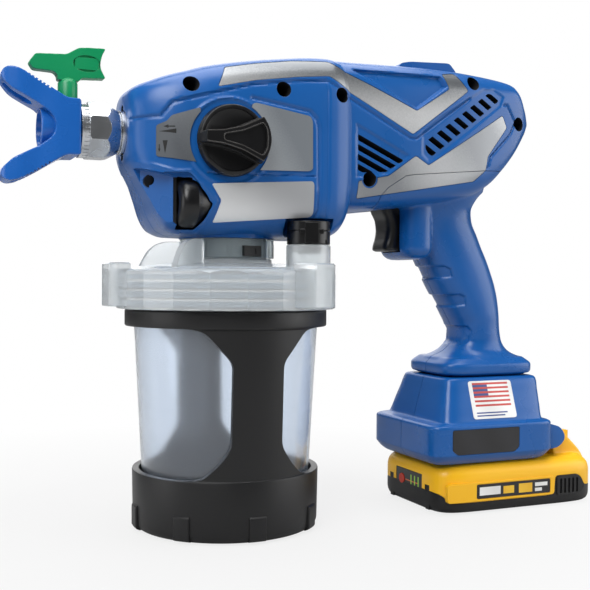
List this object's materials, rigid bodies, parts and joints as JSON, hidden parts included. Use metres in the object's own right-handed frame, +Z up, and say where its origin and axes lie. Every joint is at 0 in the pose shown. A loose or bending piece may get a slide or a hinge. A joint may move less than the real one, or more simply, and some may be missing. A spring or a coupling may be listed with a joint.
{
  "type": "airless paint sprayer",
  "caption": "Handheld battery airless paint sprayer with a screw-on cup, a reversible spray tip in a winged guard, a prime knob, a speed dial and a trigger grip.",
  "frame": {"origin": "centre of the cup foot, on the surface the sprayer stands on", "axes": "+X from the nozzle towards the grip and battery, +Y to the side away from the prime knob, +Z up"},
  "size_m": [0.351, 0.126, 0.2632],
  "materials": {
    "blue_plastic": "satin, light moulded grain",
    "black_plastic": "fine grain",
    "clear_cup": "translucent natural polypropylene",
    "clear_lid": "translucent natural polypropylene",
    "silver_trim": "satin metallic foil label",
    "steel": "turned",
    "dark_steel": "black oxide",
    "chrome": "polished",
    "aluminium": "die cast",
    "brass": "turned",
    "rubber": "smooth",
    "guard_blue": "satin",
    "tip_green": "satin",
    "board_green": "solder mask",
    "battery_yellow": "satin",
    "battery_black": "fine grain",
    "cell_wrap": "shrink sleeve",
    "copper": "stamped copper alloy",
    "button_red": "satin",
    "label_black": "printed film",
    "sticker_white": "printed film"
  },
  "bodies": {
    "sprayer": {"body_shell_left": "blue_plastic", "body_shell_right": "blue_plastic", "handle_shell_left": "blue_plastic", "handle_shell_right": "blue_plastic", "adapter_shell_left": "blue_plastic", "adapter_shell_right": "blue_plastic", "housing_screws": "dark_steel", "silver_stripe": "silver_trim", "side_panel": "silver_trim", "knob_badges": "silver_trim", "origin_sticker": "sticker_white", "adapter_label": "label_black", "outlet_fitting": "chrome", "pump_block": "aluminium", "piston_springs": "steel", "inlet_tube": "aluminium", "inlet_o_ring": "rubber", "prime_valve_body": "brass", "speed_control": "black_plastic", "gearbox": "aluminium", "hub_bearing": "steel", "motor_can": "dark_steel", "control_board": "board_green", "trigger_switch": "black_plastic", "terminal_block": "black_plastic", "cup_lid": "clear_lid", "lid_gasket": "rubber", "inlet_strainer": "steel", "air_valve_seal": "rubber"},
    "cup": {"cup_holder": "black_plastic", "cup_liner": "clear_cup"},
    "lid_lock": {"lock_collar": "clear_lid", "lock_tab": "black_plastic"},
    "air_valve": {"air_valve_cap": "black_plastic"},
    "nut": {"guard_nut": "chrome"},
    "guard": {"tip_guard": "guard_blue", "tip_seal": "rubber"},
    "tip": {"spray_tip": "tip_green", "tip_barrel": "steel"},
    "piston_one": {"piston_1": "steel"},
    "piston_two": {"piston_2": "steel"},
    "piston_three": {"piston_3": "steel"},
    "prime": {"prime_knob": "black_plastic", "prime_valve_stem": "steel"},
    "dial": {"speed_dial": "black_plastic"},
    "drive": {"drive_hub": "steel"},
    "rotor": {"motor_shaft": "steel", "cooling_fan": "black_plastic"},
    "trigger_body": {"trigger": "black_plastic"},
    "battery": {"battery_tray": "battery_black", "battery_case": "battery_yellow", "battery_cells": "cell_wrap", "battery_contacts": "copper", "latch_spring": "steel", "gauge_panel": "label_black", "battery_labels": "label_black"},
    "latch": {"battery_latch": "battery_black"},
    "gauge": {"gauge_button": "button_red"}
  },
  "joints": [
    {"name": "cup_unscrew", "type": "hinge", "parent": "sprayer", "child": "cup", "pos_m": [0, 0, 0.12], "axis": [0, 0, 1], "range_deg": [0, 540]},
    {"name": "collar_lock", "type": "hinge", "parent": "sprayer", "child": "lid_lock", "pos_m": [0, 0, 0.1512], "axis": [0, 0, 1], "range_deg": [0, 40]},
    {"name": "vent_turn", "type": "hinge", "parent": "sprayer", "child": "air_valve", "pos_m": [0.03501, -0.03299, 0.158], "axis": [0, 0, 1], "range_deg": [0, 60]},
    {"name": "nut_turn", "type": "hinge", "parent": "sprayer", "child": "nut", "pos_m": [-0.07, 0, 0.2115], "axis": [1, 0, 0], "continuous": true},
    {"name": "guard_turn", "type": "hinge", "parent": "sprayer", "child": "guard", "pos_m": [-0.084, 0, 0.2115], "axis": [1, 0, 0], "range_deg": [-90, 90]},
    {"name": "tip_reverse", "type": "hinge", "parent": "guard", "child": "tip", "pos_m": [-0.0874, 0, 0.2115], "axis": [0, 0, 1], "range_deg": [0, 180]},
    {"name": "prime_turn", "type": "hinge", "parent": "sprayer", "child": "prime", "pos_m": [-0.011, -0.0389, 0.2055], "axis": [0, 1, 0], "range_deg": [-90, 0]},
    {"name": "speed_turn", "type": "hinge", "parent": "sprayer", "child": "dial", "pos_m": [-0.0335, -0.026, 0.1735], "axis": [1, 0, 0], "range_deg": [0, 270]},
    {"name": "motor_spin", "type": "hinge", "parent": "sprayer", "child": "rotor", "pos_m": [0.1, 0, 0.2055], "axis": [1, 0, 0], "continuous": true},
    {"name": "drive_spin", "type": "hinge", "parent": "sprayer", "child": "drive", "pos_m": [0.03, 0, 0.2055], "axis": [1, 0, 0], "continuous": true},
    {"name": "piston_1_stroke", "type": "slide", "parent": "sprayer", "child": "piston_one", "axis": [1, 0, 0], "range_m": [-0.0023, 0], "stiffness_N_per_m": 2000, "springref_m": 0.001, "deforming": ["piston_springs"]},
    {"name": "piston_2_stroke", "type": "slide", "parent": "sprayer", "child": "piston_two", "axis": [1, 0, 0], "range_m": [-0.0023, 0], "stiffness_N_per_m": 2000, "springref_m": 0.001},
    {"name": "piston_3_stroke", "type": "slide", "parent": "sprayer", "child": "piston_three", "axis": [1, 0, 0], "range_m": [-0.0023, 0], "stiffness_N_per_m": 2000, "springref_m": 0.001},
    {"name": "trigger_pull", "type": "slide", "parent": "sprayer", "child": "trigger_body", "axis": [1, 0, 0], "range_m": [0, 0.006], "stiffness_N_per_m": 1200, "springref_m": -0.004},
    {"name": "battery_slide", "type": "slide", "parent": "sprayer", "child": "battery", "axis": [1, 0, 0], "range_m": [0, 0.06]},
    {"name": "latch_press", "type": "slide", "parent": "battery", "child": "latch", "axis": [-1, 0, 0], "range_m": [0, 0.003], "stiffness_N_per_m": 1500, "springref_m": -0.003, "deforming": ["latch_spring"]},
    {"name": "gauge_press", "type": "slide", "parent": "battery", "child": "gauge", "axis": [1, 0, 0], "range_m": [0, 0.0006], "stiffness_N_per_m": 1500, "springref_m": -0.001}
  ],
  "couplings": [
    {"joint": "drive_spin", "follows": "motor_spin", "ratio": 0.1}
  ]
}
